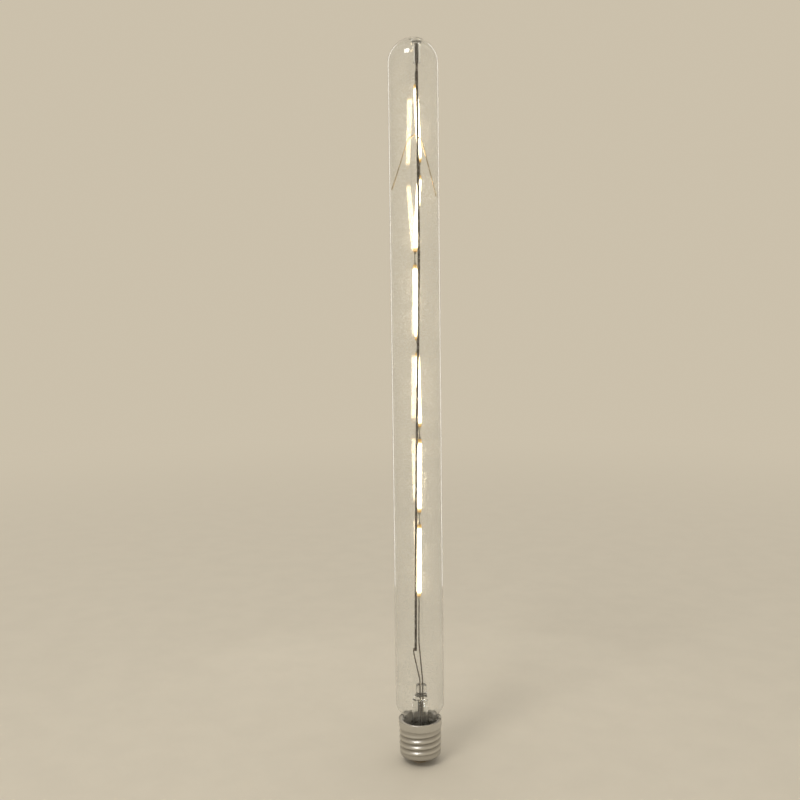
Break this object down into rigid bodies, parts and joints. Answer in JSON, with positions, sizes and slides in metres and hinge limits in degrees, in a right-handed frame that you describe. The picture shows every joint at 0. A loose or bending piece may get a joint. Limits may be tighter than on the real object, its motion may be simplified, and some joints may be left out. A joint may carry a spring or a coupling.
{
  "type": "tubular light bulb",
  "caption": "Long clear tubular lamp with light filaments in a vertical chain, a support rod, a centring spring and a screw cap.",
  "frame": {"origin": "middle of the flat face of the cap's bottom contact, on the lamp's axis", "axes": "+Z along the glass tube, from the cap to the dome; -Y is the front, where the support rod passes before the filaments; +X is to the right seen from the front"},
  "size_m": [0.03, 0.03, 0.4367],
  "materials": {
    "clear_glass": "clear, blown",
    "stem_glass": "clear, fused",
    "rod_metal": "dark drawn wire",
    "spring_metal": "spring wire",
    "nickel_wire": "drawn wire",
    "pin_metal": "pressed strip",
    "filament_coat": "soft coating, lit warm white",
    "cap_metal": "rolled sheet",
    "cement": "hard set",
    "black_glass": "glossy",
    "contact_brass": "pressed",
    "solder": "smooth",
    "board": "plain",
    "black_resin": "moulded",
    "capacitor_sleeve": "sleeve",
    "resistor_coat": "coated",
    "tinned_wire": "tinned"
  },
  "bodies": {
    "root": {"glass_tube": "clear_glass", "glass_stem": "stem_glass", "support_rod": "rod_metal", "centring_spring": "spring_metal", "top_link": "nickel_wire", "bottom_link": "nickel_wire", "left_lead_wire": "nickel_wire", "right_lead_wire": "nickel_wire", "cap_shell": "cap_metal", "cap_cement": "cement", "cap_insulator": "black_glass", "centre_contact": "contact_brass", "contact_solder": "solder", "rim_solder": "solder", "driver_board": "board", "bridge_rectifier": "black_resin", "driver_chip": "black_resin", "smoothing_capacitor": "capacitor_sleeve", "fuse_resistor": "resistor_coat", "contact_wire": "tinned_wire", "shell_wire": "tinned_wire", "filament_1": "filament_coat", "filament_1_upper_pin": "pin_metal", "filament_1_lower_pin": "pin_metal", "filament_2": "filament_coat", "filament_2_upper_pin": "pin_metal", "filament_2_lower_pin": "pin_metal", "filament_3": "filament_coat", "filament_3_upper_pin": "pin_metal", "filament_3_lower_pin": "pin_metal", "filament_4": "filament_coat", "filament_4_upper_pin": "pin_metal", "filament_4_lower_pin": "pin_metal", "filament_5": "filament_coat", "filament_5_upper_pin": "pin_metal", "filament_5_lower_pin": "pin_metal", "filament_6": "filament_coat", "filament_6_upper_pin": "pin_metal", "filament_6_lower_pin": "pin_metal"}
  },
  "joints": []
}
